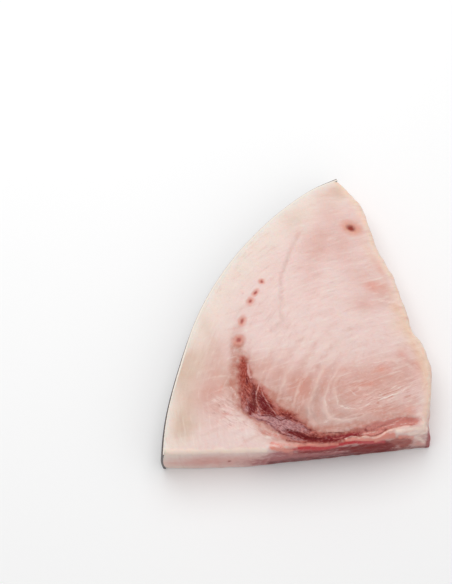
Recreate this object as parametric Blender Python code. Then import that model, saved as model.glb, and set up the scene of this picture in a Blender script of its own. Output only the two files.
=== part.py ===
"""A raw swordfish steak, a thick slice across one quarter of the loin, lying on its cut face.

Three pieces meet in it, and each runs through the whole thickness: the pale flesh, the dark red
muscle that fills a crescent slot in the flesh, and the skin round the curved side.

Lengths are in metres and +Z is up. The front is the straight side at low Y, the medial edge is the
side at high X, and the skin runs from the tip at high Y down to the front left corner. The origin is
at the middle of the footprint's box, on the surface that the steak lies on.
"""

import math

import bmesh
import bpy
from mathutils import Vector

MM = 0.001

# Driving dimensions
THICKNESS = 25 * MM  # between the two cut faces
GAP = 0.3 * MM  # between pieces that touch
TOP_RIM = 2.0 * MM  # radius that the soft edges round over to, at the top
FOOT_RIM = 1.0 * MM  # and where the steak meets what it lies on
SKIN_THICKNESS = 1.3 * MM

# The curved side follows one arc of the fish's flank, a little flatter in two places:
# (angle, how deep, how wide in degrees).
FLANK_CENTRE = Vector((118.4, -83.8)) * MM
FLANK_RADIUS = 192.3 * MM
FLANK_FLATS = [(164, 1.7, 9), (118.5, 1.7, 4)]
FRONT_ANGLE = math.radians(179.2)
TIP_ANGLE = math.radians(119.4)
FLANK_BELLY = 0.9 * MM  # how far the skin side swells at half height

# The other two sides, by the points that a smooth line passes through
FRONT_EDGE = [(-47.5, -80.1), (-12.5, -78.8), (12.5, -76.7), (34.5, -74.1), (52.5, -70), (69.7, -65.4)]
MEDIAL_EDGE = [
    (70.8, -59.5),
    (73.1, -46.5),
    (73.3, -33.5),
    (70.5, -23),
    (65.5, -11),
    (62.5, -1.5),
    (59.7, 6.5),
    (56.1, 18.5),
    (51, 28.5),
    (46.3, 39),
    (42.9, 50),
    (39.1, 60.5),
    (34.3, 69),
]

# How far the foot stands out of the top edge: (place along X, reach) for the front wall, and for the
# medial wall from the front corner to the tip
FRONT_REACH = [(-73, 2.0), (-28, 2.3), (-8, 1.4), (30, 1.2), (50, 2.6), (70, 5.6)]
MEDIAL_REACH = [(-65, 2.4), (-40, 0.8), (80, 0.6)]

# How far these two walls swell at half height
FRONT_BELLY = 0.5 * MM
MEDIAL_BELLY = [(-65, 2.2), (-48, 0.6), (80, 0.4)]

# Each side of the crescent of red muscle, from its thin top end to its tail at the medial edge
BLOOD_OUTER = [
    (-31.7, -24.5),
    (-33.3, -31.5),
    (-33.6, -40.5),
    (-32.5, -50),
    (-28.5, -58),
    (-20, -63),
    (-11, -69.3),
    (-0.5, -72.6),
    (12.5, -73.1),
    (24.5, -71.7),
    (37.5, -68.9),
    (50.5, -65.5),
    (62.5, -62.3),
]
BLOOD_INNER = [
    (-29.1, -24.5),
    (-27.3, -30.5),
    (-26, -36.5),
    (-20.5, -42.5),
    (-15.3, -49),
    (-9.3, -55.5),
    (-2.5, -60.3),
    (6, -65.3),
    (15.5, -68.5),
    (27.5, -67.5),
    (38.5, -64.7),
    (50.5, -61.3),
    (62.5, -59.1),
]

# Low relief of the upper face
LOIN_DOME = 0.9 * MM
LOIN_DOME_CENTRE = Vector((25.5, -22.5)) * MM
LOIN_DOME_RADIUS = 40 * MM
BLOOD_SINK = 1.0 * MM
BLOOD_SINK_WIDTH = 8 * MM
LIP_HEIGHT = 1.3 * MM  # the strip of flesh in front of the red muscle stands up as a lip
LIP_WIDTH = 3 * MM
LIP_START_X = -22 * MM
LIP_RISE = 10 * MM  # the length over which it comes up
MEDIAL_SLUMP = 1.4 * MM  # the upper face falls away towards the medial edge
MEDIAL_SLUMP_WIDTH = 16 * MM
SWELL = 0.35 * MM  # slow swell of the whole face
SWELL_LENGTH = 26 * MM
SWELL_PHASE = (1.1, 0.4)

# How finely each piece is divided: across and along its face
FLESH_GRID = (32, 36)
BLOOD_GRID = (3, 34)
SKIN_STEPS = 44
WALL_SHARES = (0.62, 0.3)  # the heights between the rims where the walls are divided


# ---------------------------------------------------------------- lines in plan


def smooth_curve(points, steps_between=10):
    """Return a function that runs along a smooth line through the points as its share goes 0 to 1."""
    ends = [2 * points[0] - points[1], *points, 2 * points[-1] - points[-2]]
    line = []
    for a, b, c, d in zip(ends, ends[1:], ends[2:], ends[3:]):
        for step in range(steps_between):
            t = step / steps_between
            bend = (2 * a - 5 * b + 4 * c - d) * t**2 + (3 * b - a - 3 * c + d) * t**3
            line.append((2 * b + (c - a) * t + bend) / 2)
    line.append(points[-1])
    lengths = [0.0]
    for a, b in zip(line, line[1:]):
        lengths.append(lengths[-1] + (b - a).length)

    def at(share):
        target = min(max(share, 0), 1) * lengths[-1]
        i = next(i for i in range(1, len(line)) if lengths[i] >= target - 1e-12)
        return line[i - 1].lerp(line[i], (target - lengths[i - 1]) / (lengths[i] - lengths[i - 1]))

    return at


def bump(distance, width):
    return math.exp(-((distance / width) ** 2))


def in_metres(points):
    return [Vector(point) * MM for point in points]


def on_circle(angle, radius):
    return FLANK_CENTRE + Vector((math.cos(angle), math.sin(angle))) * radius


def on_flank(angle, depth):
    """A point of the curved side at this angle about its centre, this deep under the skin's face."""
    flats = sum(low * MM * bump(math.degrees(angle) - at, width) for at, low, width in FLANK_FLATS)
    return on_circle(angle, FLANK_RADIUS - flats - depth)


def between(stops, place):
    """Read a value between stops of (place, value), both in millimetres."""
    place /= MM
    for (a, low), (b, high) in zip(stops, stops[1:]):
        if place <= b:
            return (low + (high - low) * max(place - a, 0) / (b - a)) * MM
    return stops[-1][1] * MM


def walk(side, curve, steps):
    """Step along one side of a piece: (point, [(side, way out)]), with the way out on the right."""
    stations = []
    for step in range(steps + 1):
        share = step / steps
        ahead = curve(share + 0.5 / steps) - curve(share - 0.5 / steps)
        stations.append((curve(share), [(side, Vector((ahead.y, -ahead.x)).normalized())]))
    return stations


def closed_loop(*walks):
    """Join the walks of a piece's sides end to end. A corner keeps the ways out of both its sides."""
    loop = []
    for stations in walks:
        if loop:
            stations[0][1].extend(loop.pop()[1])
        loop += stations
    loop[0][1].extend(loop.pop()[1])
    return loop


FRONT_LINE = smooth_curve(in_metres(FRONT_EDGE))
MEDIAL_LINE = smooth_curve(in_metres(MEDIAL_EDGE))
BLOOD_OUTER_LINE = smooth_curve(in_metres(BLOOD_OUTER))
BLOOD_INNER_LINE = smooth_curve(in_metres(BLOOD_INNER))
BLOOD_SPINE = smooth_curve(
    [(BLOOD_OUTER_LINE(i / 12) + BLOOD_INNER_LINE(i / 12)) / 2 for i in range(13)]
)
FLESH_DEPTH = SKIN_THICKNESS + GAP  # of the flesh under the skin's outer face


def flesh_loop():
    """Front, medial edge and curved side, anticlockwise from the front left corner."""
    columns, rows = FLESH_GRID
    front = smooth_curve([on_flank(FRONT_ANGLE, FLESH_DEPTH), *in_metres(FRONT_EDGE)])
    tip = on_flank(TIP_ANGLE, FLESH_DEPTH)
    medial = smooth_curve([Vector(FRONT_EDGE[-1]) * MM, *in_metres(MEDIAL_EDGE), tip])

    def flank(share):
        return on_flank(TIP_ANGLE + (FRONT_ANGLE - TIP_ANGLE) * share, FLESH_DEPTH)

    return closed_loop(
        walk("front", front, columns),
        walk("medial", medial, rows),
        walk("flank", flank, columns + rows),
    )


def blood_loop():
    """Top end, outer side, tail and inner side of the crescent, anticlockwise."""
    columns, rows = BLOOD_GRID

    def straight(a, b):
        return lambda share: a.lerp(b, share)

    outer, inner = BLOOD_OUTER_LINE, BLOOD_INNER_LINE
    return closed_loop(
        walk("blood", straight(inner(0), outer(0)), columns),
        walk("blood", outer, rows),
        walk("blood", straight(outer(1), inner(1)), columns),
        walk("blood", lambda share: inner(1 - share), rows),
    )


# ---------------------------------------------------------------- relief and walls


def nearest(curve, point, samples=60):
    return min((point - curve(i / samples)).length for i in range(samples + 1))


def relief(point):
    """How far the upper face stands above its nominal height here."""
    across, along = point / SWELL_LENGTH + Vector(SWELL_PHASE)
    swell = SWELL * math.sin(across) * math.cos(along)
    dome = LOIN_DOME * bump((point - LOIN_DOME_CENTRE).length, LOIN_DOME_RADIUS)
    sink = -BLOOD_SINK * bump(nearest(BLOOD_SPINE, point), BLOOD_SINK_WIDTH)
    slump = -MEDIAL_SLUMP * bump(nearest(MEDIAL_LINE, point), MEDIAL_SLUMP_WIDTH)
    lip = 0.0
    if point.x > LIP_START_X:
        rise = min((point.x - LIP_START_X) / LIP_RISE, 1)
        lip = LIP_HEIGHT * rise * bump(nearest(FRONT_LINE, point), LIP_WIDTH)
    return swell + dome + sink + slump + lip


def reach(side, point, height):
    """How far a side's wall stands out of its line in plan, at this height."""
    swell = math.sin(math.pi * height / THICKNESS)
    down = 1 - height / THICKNESS
    if side == "front":
        return between(FRONT_REACH, point.x) * down + FRONT_BELLY * swell
    if side == "medial":
        return between(MEDIAL_REACH, point.y) * down + between(MEDIAL_BELLY, point.y) * swell
    if side == "flank":
        return FLANK_BELLY * swell
    return 0.0


def edge_levels(top_rim, foot_rim):
    """The wall's levels from the upper face to the underside: (height, how far the rim is set in)."""
    levels = []
    for angle in (0, 30, 60, 90):
        a = math.radians(angle)
        levels.append((THICKNESS - top_rim * (1 - math.cos(a)), top_rim * (1 - math.sin(a))))
    levels += [(THICKNESS * share, 0.0) for share in WALL_SHARES]
    levels.append((foot_rim, 0.0))
    a = math.radians(45)
    levels += [(foot_rim * (1 - math.sin(a)), foot_rim * (1 - math.cos(a))), (0.0, foot_rim)]
    return levels


def wall_point(station, height, inset):
    """A point of the wall. Its rims are set in, but not where the flesh lies against the skin."""
    point, ways = station
    place = point.copy()
    for side, way in ways:
        place += way * (reach(side, point, height) - (0 if side == "flank" else inset))
    return Vector((*place, height * (1 + relief(point) / THICKNESS)))


# ---------------------------------------------------------------- solids


def station_at(i, j, columns, rows):
    """Which of the loop's stations lies at this place of the grid's border. None inside the border."""
    if j == 0:
        return i
    if i == columns:
        return columns + j
    if j == rows:
        return 2 * columns + rows - i
    if i == 0:
        return 2 * (columns + rows) - j
    return None


def slab(loop, grid, levels):
    """Build a closed slab: a gridded upper face inside the loop, walls down its levels, one flat foot."""
    columns, rows = grid
    height, inset = levels[0]
    rim = [wall_point(station, height, inset) for station in loop]
    front = rim[: columns + 1]
    right = rim[columns : columns + rows + 1]
    back = rim[columns + rows : 2 * columns + rows + 1][::-1]
    left = [*rim[2 * columns + rows :], rim[0]][::-1]

    mesh = bmesh.new()
    bmesh.ops.create_grid(mesh, x_segments=columns, y_segments=rows, size=1)
    ring = {}
    for vert in mesh.verts:
        u, v = (vert.co.x + 1) / 2, (vert.co.y + 1) / 2
        i, j = round(u * columns), round(v * rows)
        ruled = front[i].lerp(back[i], v) + left[j].lerp(right[j], u)
        place = ruled - front[0].lerp(front[-1], u).lerp(back[0].lerp(back[-1], u), v)
        place.z = height + relief(place.xy)
        vert.co = place
        if vert.is_boundary:
            ring[vert] = station_at(i, j, columns, rows)

    for height, inset in levels[1:]:
        rim_edges = [edge for edge in mesh.edges if edge.is_boundary]
        made = bmesh.ops.extrude_edge_only(mesh, edges=rim_edges)["geom"]
        lower = {}
        for vert in (item for item in made if isinstance(item, bmesh.types.BMVert)):
            above = next(e.other_vert(vert) for e in vert.link_edges if e.other_vert(vert) in ring)
            lower[vert] = ring[above]
            vert.co = wall_point(loop[ring[above]], height, inset)
        ring = lower
    foot = [edge for edge in mesh.edges if edge.is_boundary]
    bmesh.ops.contextual_create(mesh, geom=foot)
    bmesh.ops.recalc_face_normals(mesh, faces=mesh.faces)
    return mesh


def slot_cutter():
    """A straight-sided column of the crescent's outline, grown by the gap, to cut its slot."""
    mesh = bmesh.new()
    below = -0.5 * THICKNESS
    ring = []
    for point, ways in blood_loop():
        out = sum((way * GAP for _, way in ways), Vector((0, 0)))
        ring.append(mesh.verts.new((*(point + out), below)))
    base = mesh.faces.new(ring)
    made = bmesh.ops.extrude_face_region(mesh, geom=[base])["geom"]
    upper = [item for item in made if isinstance(item, bmesh.types.BMVert)]
    bmesh.ops.translate(mesh, verts=upper, vec=(0, 0, 2 * THICKNESS))
    bmesh.ops.recalc_face_normals(mesh, faces=mesh.faces)
    return mesh


def skin_strip():
    """Turn the skin's upright section about the flank's centre, from the tip to the front corner."""
    section = [
        (inset - reach("flank", None, height), height)
        for height, inset in edge_levels(SKIN_THICKNESS * 0.4, SKIN_THICKNESS * 0.3)
    ]
    for share in (0, *reversed(WALL_SHARES), 1):
        height = THICKNESS * share
        section.append((SKIN_THICKNESS - reach("flank", None, height), height))
    mesh = bmesh.new()
    ring = [(*on_circle(TIP_ANGLE, FLANK_RADIUS - depth), height) for depth, height in section]
    face = mesh.faces.new([mesh.verts.new(corner) for corner in ring])
    bmesh.ops.spin(
        mesh,
        geom=[face, *face.edges, *face.verts],
        cent=(*FLANK_CENTRE, 0),
        axis=(0, 0, 1),
        angle=FRONT_ANGLE - TIP_ANGLE,
        steps=SKIN_STEPS,
    )
    for vert in mesh.verts:
        centred = vert.co.xy - FLANK_CENTRE
        angle = math.atan2(centred.y, centred.x) % math.tau
        vert.co.xy = on_flank(angle, FLANK_RADIUS - centred.length)
        if angle > FRONT_ANGLE - math.radians(0.1):  # its last section lies flush with the front
            vert.co.y -= reach("front", vert.co.xy, vert.co.z)
        vert.co.z *= 1 + relief(vert.co.xy) / THICKNESS
    bmesh.ops.recalc_face_normals(mesh, faces=mesh.faces)
    return mesh


# ---------------------------------------------------------------- objects and finishes


def finish(name, colour, roughness):
    """A plain moist finish. The colour is given as an sRGB hex value."""
    material = bpy.data.materials.new(name)
    material.use_nodes = True
    shader = material.node_tree.nodes["Principled BSDF"]
    channels = [int(colour[i : i + 2], 16) / 255 for i in (1, 3, 5)]
    linear = [c / 12.92 if c <= 0.04045 else ((c + 0.055) / 1.055) ** 2.4 for c in channels]
    shader.inputs["Base Color"].default_value = (*linear, 1)
    shader.inputs["Roughness"].default_value = roughness
    shader.inputs["Metallic"].default_value = 0
    material.diffuse_color = (*linear, 1)
    return material


def solid(name, mesh, material):
    data = bpy.data.meshes.new(name)
    mesh.to_mesh(data)
    mesh.free()
    data.shade_smooth()
    data.set_sharp_from_angle(angle=math.radians(50))
    if material:
        data.materials.append(material)
    piece = bpy.data.objects.new(name, data)
    bpy.context.scene.collection.objects.link(piece)
    return piece


def make_flesh():
    flesh = solid(
        "flesh",
        slab(flesh_loop(), FLESH_GRID, edge_levels(TOP_RIM, FOOT_RIM)),
        finish("pale_flesh", "#E3C8BE", 0.45),
    )
    cutter = solid("blood_slot_cutter", slot_cutter(), None)
    cutter.hide_render = True
    cutter.display_type = "WIRE"
    slot = flesh.modifiers.new("slot", "BOOLEAN")
    slot.operation = "DIFFERENCE"
    slot.solver = "EXACT"
    slot.object = cutter


def make_bloodline():
    levels = edge_levels(0.6 * MM, 0.3 * MM)
    solid("bloodline", slab(blood_loop(), BLOOD_GRID, levels), finish("red_muscle", "#7E3A3C", 0.4))


def make_skin():
    solid("skin", skin_strip(), finish("dark_skin", "#4A3F42", 0.4))


for existing in list(bpy.data.objects):
    bpy.data.objects.remove(existing)
make_flesh()
make_bloodline()
make_skin()
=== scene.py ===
# %% [markdown]
# # A raw swordfish steak
#
# The steak is a thick slice across one quarter of a swordfish loin, lying on its cut face. Pale flesh
# fills it. A dark red crescent of muscle runs through it near the front, and a strip of dark skin goes
# round its curved side.
#
# The solid model already holds those three pieces as plain solids. This script loads them as a fixed
# frame and dresses them: each piece gets a finer mesh in the same place, and a material made of nodes.
# All lengths below are in millimetres, and are turned to metres when a mesh is written.

# %% Load the frame
import math
from functools import partial

import bmesh
import bpy
import numpy as np
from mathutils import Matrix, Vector, noise


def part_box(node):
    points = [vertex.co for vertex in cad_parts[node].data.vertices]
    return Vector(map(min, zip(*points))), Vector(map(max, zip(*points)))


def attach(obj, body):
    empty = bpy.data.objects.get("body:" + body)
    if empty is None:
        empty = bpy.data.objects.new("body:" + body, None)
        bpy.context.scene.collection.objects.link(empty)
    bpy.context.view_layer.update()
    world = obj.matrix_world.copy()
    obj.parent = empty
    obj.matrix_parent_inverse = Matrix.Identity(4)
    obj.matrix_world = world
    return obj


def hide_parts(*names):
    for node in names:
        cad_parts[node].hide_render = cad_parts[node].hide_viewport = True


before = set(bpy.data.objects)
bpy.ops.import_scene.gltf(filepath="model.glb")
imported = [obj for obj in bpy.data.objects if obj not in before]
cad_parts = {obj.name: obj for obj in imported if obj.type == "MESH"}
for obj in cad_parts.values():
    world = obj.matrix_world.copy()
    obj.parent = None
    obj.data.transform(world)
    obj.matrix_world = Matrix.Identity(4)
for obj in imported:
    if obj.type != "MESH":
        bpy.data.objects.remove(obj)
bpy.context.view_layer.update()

MM = 0.001
for node in ("flesh", "bloodline", "skin"):
    low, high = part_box(node)
    print(node, "is", [round(side / MM, 1) for side in high - low], "mm")

# %% [markdown]
# ## Smooth lines in plan
#
# The steak's outline could be drawn as a Bezier curve. Here a list of a few points is turned to a smooth
# line in code, because the same line then does three jobs: it carries the wall, it bends the relief, and
# it measures how far any point of the meat lies from it.

# %% Smooth lines


def smooth_line(points, closed=False, steps=10):
    """Points close together on a smooth line that passes through the points given."""
    p = np.array(points, float)
    ends = [p[-1:], p, p[:2]] if closed else [2 * p[:1] - p[1:2], p, 2 * p[-1:] - p[-2:-1]]
    p = np.concatenate(ends)
    t = (np.arange(steps) / steps)[:, None, None]
    a, b, c, d = p[:-3], p[1:-2], p[2:-1], p[3:]
    bend = (2 * a - 5 * b + 4 * c - d) * t**2 + (3 * b - a - 3 * c + d) * t**3
    line = ((2 * b + (c - a) * t + bend) / 2).transpose(1, 0, 2).reshape(-1, 2)
    return np.concatenate([line, p[1:2] if closed else p[-2:-1]])


def lengths_along(line):
    return np.concatenate([[0], np.cumsum(np.linalg.norm(np.diff(line, axis=0), axis=1))])


def points_along(line, count):
    """Return count + 1 points at equal distances along a line."""
    run = lengths_along(line)
    at = np.linspace(0, run[-1], count + 1)
    return np.stack([np.interp(at, run, line[:, k]) for k in (0, 1)], axis=1)


def measure(line, points, batch=2000):
    """For each point: its distance from a line, how far along it lies, and 1 if it is on the left."""
    start, step = line[:-1], np.diff(line, axis=0)
    size = np.maximum((step**2).sum(1), 1e-12)
    run = lengths_along(line)
    found = []
    for first in range(0, len(points), batch):
        away = points[first : first + batch, None, :2] - start
        share = np.clip((away * step).sum(2) / size, 0, 1)
        gap = np.linalg.norm(away - share[..., None] * step, axis=2)
        best = gap.argmin(1)
        row = np.arange(len(best))
        along = run[best] + share[row, best] * np.sqrt(size[best])
        turn = step[best, 0] * away[row, best, 1] - step[best, 1] * away[row, best, 0]
        found.append(np.stack([gap[row, best], along, np.where(turn >= 0, 1, -1)], axis=1))
    return np.concatenate(found).T


def bump(distance, width):
    return np.exp(-((distance / width) ** 2))


def rough(points, size, seed=0.0):
    """Smooth lumps of about this size, from -1 to 1, read at each point."""
    return np.array([noise.noise((x / size + seed, y / size, z / size)) for x, y, z in points])


# %% [markdown]
# ## The outline
#
# A fishmonger saws the fish straight across, then splits the round slice in four. So the steak has one
# curved side, which carries the skin, and two straighter ones, cut from the back and from the belly line
# to the middle. These numbers repeat the solid model's, so that both fill the same place.

# %% The steak's three sides
THICKNESS = 25.0
FLANK_CENTRE = np.array([118.4, -83.8])
FLANK_RADIUS = 192.3
FLANK_FLATS = [(164, 1.7, 9), (118.5, 1.7, 4)]  # (angle, how deep, how wide in degrees)
FRONT_ANGLE = math.radians(179.2)
TIP_ANGLE = math.radians(119.4)
SKIN_THICKNESS = 1.3
FLANK_BELLY, FRONT_BELLY = 0.9, 0.5  # how far these sides swell at half height

FRONT_EDGE = [
    (-47.5, -80.1), (-12.5, -78.8), (12.5, -76.7), (34.5, -74.1), (52.5, -70), (69.7, -65.4),
]
MEDIAL_EDGE = [
    (70.8, -59.5), (73.1, -46.5), (73.3, -33.5), (70.5, -23), (65.5, -11), (62.5, -1.5), (59.7, 6.5),
    (56.1, 18.5), (51, 28.5), (46.3, 39), (42.9, 50), (39.1, 60.5), (34.3, 69),
]


def flank_radius(angle):
    flats = sum(deep * bump(np.degrees(angle) - at, wide) for at, deep, wide in FLANK_FLATS)
    return FLANK_RADIUS - flats


def on_flank(angle, depth):
    """A point of the curved side at this angle, this deep under the skin's outer face."""
    way = np.stack([np.cos(angle), np.sin(angle)], axis=-1)
    return FLANK_CENTRE + way * (flank_radius(angle) - depth)[..., None]


def flank_depth(points):
    """How deep a point lies under the skin's outer face."""
    centred = points[:, :2] - FLANK_CENTRE
    angle = np.arctan2(centred[:, 1], centred[:, 0]) % math.tau
    return flank_radius(angle) - np.linalg.norm(centred, axis=1)


FRONT_CORNER = on_flank(np.array([FRONT_ANGLE]), SKIN_THICKNESS)[0]
TIP = on_flank(np.array([TIP_ANGLE]), SKIN_THICKNESS)[0]
FRONT_LINE = smooth_line([FRONT_CORNER, *FRONT_EDGE])
MEDIAL_LINE = smooth_line([FRONT_EDGE[-1], *MEDIAL_EDGE, TIP])
print("the front is", round(lengths_along(FRONT_LINE)[-1]), "mm long")
print("the medial edge is", round(lengths_along(MEDIAL_LINE)[-1]), "mm long")

# %% [markdown]
# ## The red muscle's outline
#
# Swordfish swim all day on a band of red muscle under the skin of each flank. Cut across, it is a
# crescent: thin where it begins above, thickest at its bend, and drawn out to a tail at the middle.

# %% The crescent
BLOOD_OUTER = [
    (-31.7, -24.5), (-33.3, -31.5), (-33.6, -40.5), (-32.5, -50), (-28.5, -58), (-20, -63),
    (-11, -69.3), (-0.5, -72.6), (12.5, -73.1), (24.5, -71.7), (37.5, -68.9), (50.5, -65.5),
    (62.5, -62.3),
]
BLOOD_INNER = [
    (-29.1, -24.5), (-27.3, -30.5), (-26, -36.5), (-20.5, -42.5), (-15.3, -49), (-9.3, -55.5),
    (-2.5, -60.3), (6, -65.3), (15.5, -68.5), (27.5, -67.5), (38.5, -64.7), (50.5, -61.3),
    (62.5, -59.1),
]
BLOOD_SPINE = smooth_line((np.array(BLOOD_OUTER) + np.array(BLOOD_INNER)) / 2)
OUTER_LINE, INNER_LINE = smooth_line(BLOOD_OUTER), smooth_line(BLOOD_INNER)


def inside(ring, points):
    """True for each point that lies inside a closed ring."""
    x, y = points[:, 0], points[:, 1]
    within = np.zeros(len(points), bool)
    for (ax, ay), (bx, by) in zip(ring, ring[1:]):
        if ay != by:
            within ^= ((ay > y) != (by > y)) & (x < ax + (y - ay) * (bx - ax) / (by - ay))
    return within


# %% [markdown]
# ## Relief of the cut face
#
# Raw fish is soft, so a cut face is never flat. The loin bulges a little, the red muscle sinks, the tough
# sheet in front of it stands up as a wavy lip, and vessels leave small pits. A Displace modifier with a
# texture could make lumps, but not lumps that know where the muscle lies, so the height is a formula.

# %% How high the cut face stands
LIP_CREST = [
    (-22, -78.5), (-12, -77.4), (-4.5, -76.5), (4.5, -75.8), (11.5, -75.5), (17.5, -75.2),
    (22.5, -74.2), (26.5, -71.8), (29.5, -71.3), (32.5, -72.1), (35, -71.4), (39.5, -72), (42.5, -71.6),
    (45.5, -70.3), (48.5, -68.4), (51.5, -67.4), (56, -66.3), (69, -64),
]
LIP_LINE = smooth_line(LIP_CREST)
SEAM = [
    (3, 46), (-1.5, 36.5), (-4.5, 28.5), (-7.5, 20.5), (-8.5, 10.5), (-8.5, -1.5), (-8, -6),
    (-13.5, -11),
]
SEAM_LINE = smooth_line(SEAM)

# How far each form of the face stands up or sinks, and how wide it is
SWELL, SWELL_LENGTH = 0.35, 26
DOME, DOME_CENTRE, DOME_RADIUS = 0.9, (25.5, -22.5), 40
SINK, SINK_WIDTH = 1.0, 8
SLUMP, SLUMP_WIDTH = 1.4, 16
LUMPS = [(0.28, 15, 7), (0.16, 6, 11), (0.05, 2.4, 13)]  # (height, size, seed)

# Vessels that the knife crossed: (x, y, long radius, short radius, turn in degrees)
ARTERY = (32.3, 51, 3.4, 2.3, -25)
VESSELS = [
    (-19.2, 18.2, 1.1, 0.9, 0), (-22.7, 11.3, 1.6, 0.9, 50), (-25.6, 6.2, 1.6, 1.2, 60),
    (-30.1, -5.4, 1.9, 1.25, 70), (-32.2, -16.4, 2.0, 1.6, 30),
]


def soft_spots(points, spots):
    """The sum of soft ellipses: (x, y, long radius, short radius, turn in degrees, strength)."""
    total = np.zeros(len(points))
    for x, y, long, short, turn, strength in spots:
        c, s = math.cos(math.radians(turn)), math.sin(math.radians(turn))
        away = points[:, :2] - (x, y)
        across, along = away @ (-s, c), away @ (c, s)
        total += strength * np.exp(-((along / long) ** 2) - (across / short) ** 2)
    return total


def relief(points):
    """How far the upper face stands above its nominal height at each place in plan."""
    x, y = points[:, 0], points[:, 1]
    flat = np.column_stack([points[:, :2], np.zeros(len(points))])
    from_red = measure(BLOOD_SPINE, points)[0]
    swell = SWELL * np.sin(x / SWELL_LENGTH + 1.1) * np.cos(y / SWELL_LENGTH + 0.4)
    dome = DOME * bump(np.hypot(x - DOME_CENTRE[0], y - DOME_CENTRE[1]), DOME_RADIUS)
    sink = -SINK * bump(from_red, SINK_WIDTH)
    slump = -SLUMP * bump(measure(MEDIAL_LINE, points)[0], SLUMP_WIDTH)
    rise = np.clip((x + 20) / 10, 0, 1)
    gap, _, side = measure(LIP_LINE, points)
    lip = rise * bump(gap, np.where(side > 0, 1.6, 3.2)) * (1.2 + 0.6 * rough(flat, 5, 3))
    lip -= 0.7 * rise * bump(gap * side - 3.2, 1.6)
    in_red = bump(from_red, 5) * (x < 70)
    strands = in_red * (0.5 * rough(flat, 3.2, 15) + 0.22 * rough(flat, 1.4, 17))
    lumps = sum(tall * rough(flat, size, seed) for tall, size, seed in LUMPS)
    seam = -0.3 * bump(measure(SEAM_LINE, points)[0], 1.3) + strands
    pits = [(*vessel, -0.35) for vessel in VESSELS] + [(*ARTERY, -1.3)]
    pits += [(ARTERY[0], ARTERY[1], 6, 5, 0, 0.25)]
    return swell + dome + sink + slump + lip + lumps + seam + soft_spots(points, pits)


# %% [markdown]
# ## Walls
#
# The walls lean out towards the foot and swell at half height, because the slab sags under its own
# weight. The front bulges like a pillow near its right end, and the medial side stands out in steps where
# the knife left bundles of muscle. Each wall is walked in steps, and every step knows which way is out.
# The edges are rounded over by setting the first levels in, as a soft edge does on a wet slab.

# %% How a wall stands
# Each stop is a place along the wall (x for the front, y for the medial side) and a distance, all in mm:
# REACH is how far the foot stands out, BELLY how far the wall swells, and STEPS how far it steps out.
FRONT_REACH = [
    (-73, 2.0), (-60, 2.8), (-48, 3.1), (-30, 3.2), (-20, 2.5), (-8, 1.7), (30, 1.5), (43, 2.7),
    (52, 4.4), (62, 5.6), (70, 7.2),
]
MEDIAL_REACH = [(-66, 7.0), (-60, 3.6), (-54, 1.8), (-40, 0.8), (80, 0.6)]
MEDIAL_BELLY = [(-65, 2.2), (-48, 0.6), (80, 0.4)]
MEDIAL_STEPS = [
    (-65, -0.9), (-59, -0.6), (-54, 0.3), (-36, 0.3), (-30, 0.8), (-24, 1.3), (-15, 1.5), (-10, 0),
    (-5, -0.7), (-1, 0.3), (14, 0.2), (22, 0.9), (40, 0.9), (52, 1.3), (61, 1.4), (66, 2.1), (70, 1.6),
    (76, 0.8), (82, 0),
]
TOP_RIM, FOOT_RIM = 2.8, 1.0


def between(stops, place):
    """Read a value between stops of (place, value)."""
    return np.interp(place, *zip(*stops))


def reach(side, points, height):
    """How far a side's wall stands out of its line in plan, at this height."""
    swell = math.sin(math.pi * height / THICKNESS)
    down = 1 - height / THICKNESS
    solid = np.column_stack([points, np.full(len(points), height)])
    if side == "front":
        torn = between([(-20, 0.12), (20, 0.5)], points[:, 0]) * (rough(solid, 5, 21) - 0.3)
        pillow = between([(50, 0), (57, 1.6), (68, 1.4)], points[:, 0]) * bump(height - 21, 4)
        return between(FRONT_REACH, points[:, 0]) * down + FRONT_BELLY * swell + torn + pillow
    if side == "medial":
        bundles = 0.75 * rough(solid * (1, 1, 0.35), 7, 23) + 0.3 * rough(solid, 3, 25) - 0.3
        bundles += between(MEDIAL_STEPS, points[:, 1])
        lean = between(MEDIAL_REACH, points[:, 1]) * down
        return lean + between(MEDIAL_BELLY, points[:, 1]) * swell + bundles
    if side == "flank":
        return np.full(len(points), FLANK_BELLY * swell)
    return np.zeros(len(points))


def edge_levels(top_rim, foot_rim, wall_steps):
    """The wall's levels from the upper face to the underside: (height, how far the rim is set in)."""
    levels = []
    for angle in np.radians(np.linspace(0, 90, 7)):
        levels.append((THICKNESS - top_rim * (1 - math.cos(angle)), top_rim * (1 - math.sin(angle))))
    levels += [(height, 0.0) for height in np.linspace(THICKNESS - top_rim, foot_rim, wall_steps + 1)[1:]]
    for angle in np.radians([30, 60, 90]):
        levels.append((foot_rim * (1 - math.sin(angle)), foot_rim * (1 - math.cos(angle))))
    return levels


def walk(side, line, steps):
    """Step along one side: the side, its points, and for each point the way out on its right."""
    points = points_along(line, steps)
    ahead = np.gradient(points, axis=0)
    out = np.stack([ahead[:, 1], -ahead[:, 0]], axis=1)
    return side, points, out / np.linalg.norm(out, axis=1)[:, None]


def wall_ring(walks, height, inset):
    """All the wall's points at one level. Each corner lies where its two walls meet."""
    pushes = [reach(side, points, height) - (0 if side == "flank" else inset) for side, points, _ in walks]
    corners = []
    for k, (_, _, out) in enumerate(walks):
        ways, push = [walks[k - 1][2][-1], out[0]], [pushes[k - 1][-1], pushes[k][0]]
        corners.append(np.linalg.solve(ways, push))
    ring = []
    for (_, points, out), push, first, last in zip(walks, pushes, corners, corners[1:] + corners[:1]):
        ahead = np.column_stack([-out[:, 1], out[:, 0]])
        slide = np.linspace(first @ ahead[0], last @ ahead[-1], len(points))
        ring.append((points + out * push[:, None] + ahead * slide[:, None])[:-1])
    ring = np.concatenate(ring)
    return np.column_stack([ring, height * (1 + relief(ring) / THICKNESS)])


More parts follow.
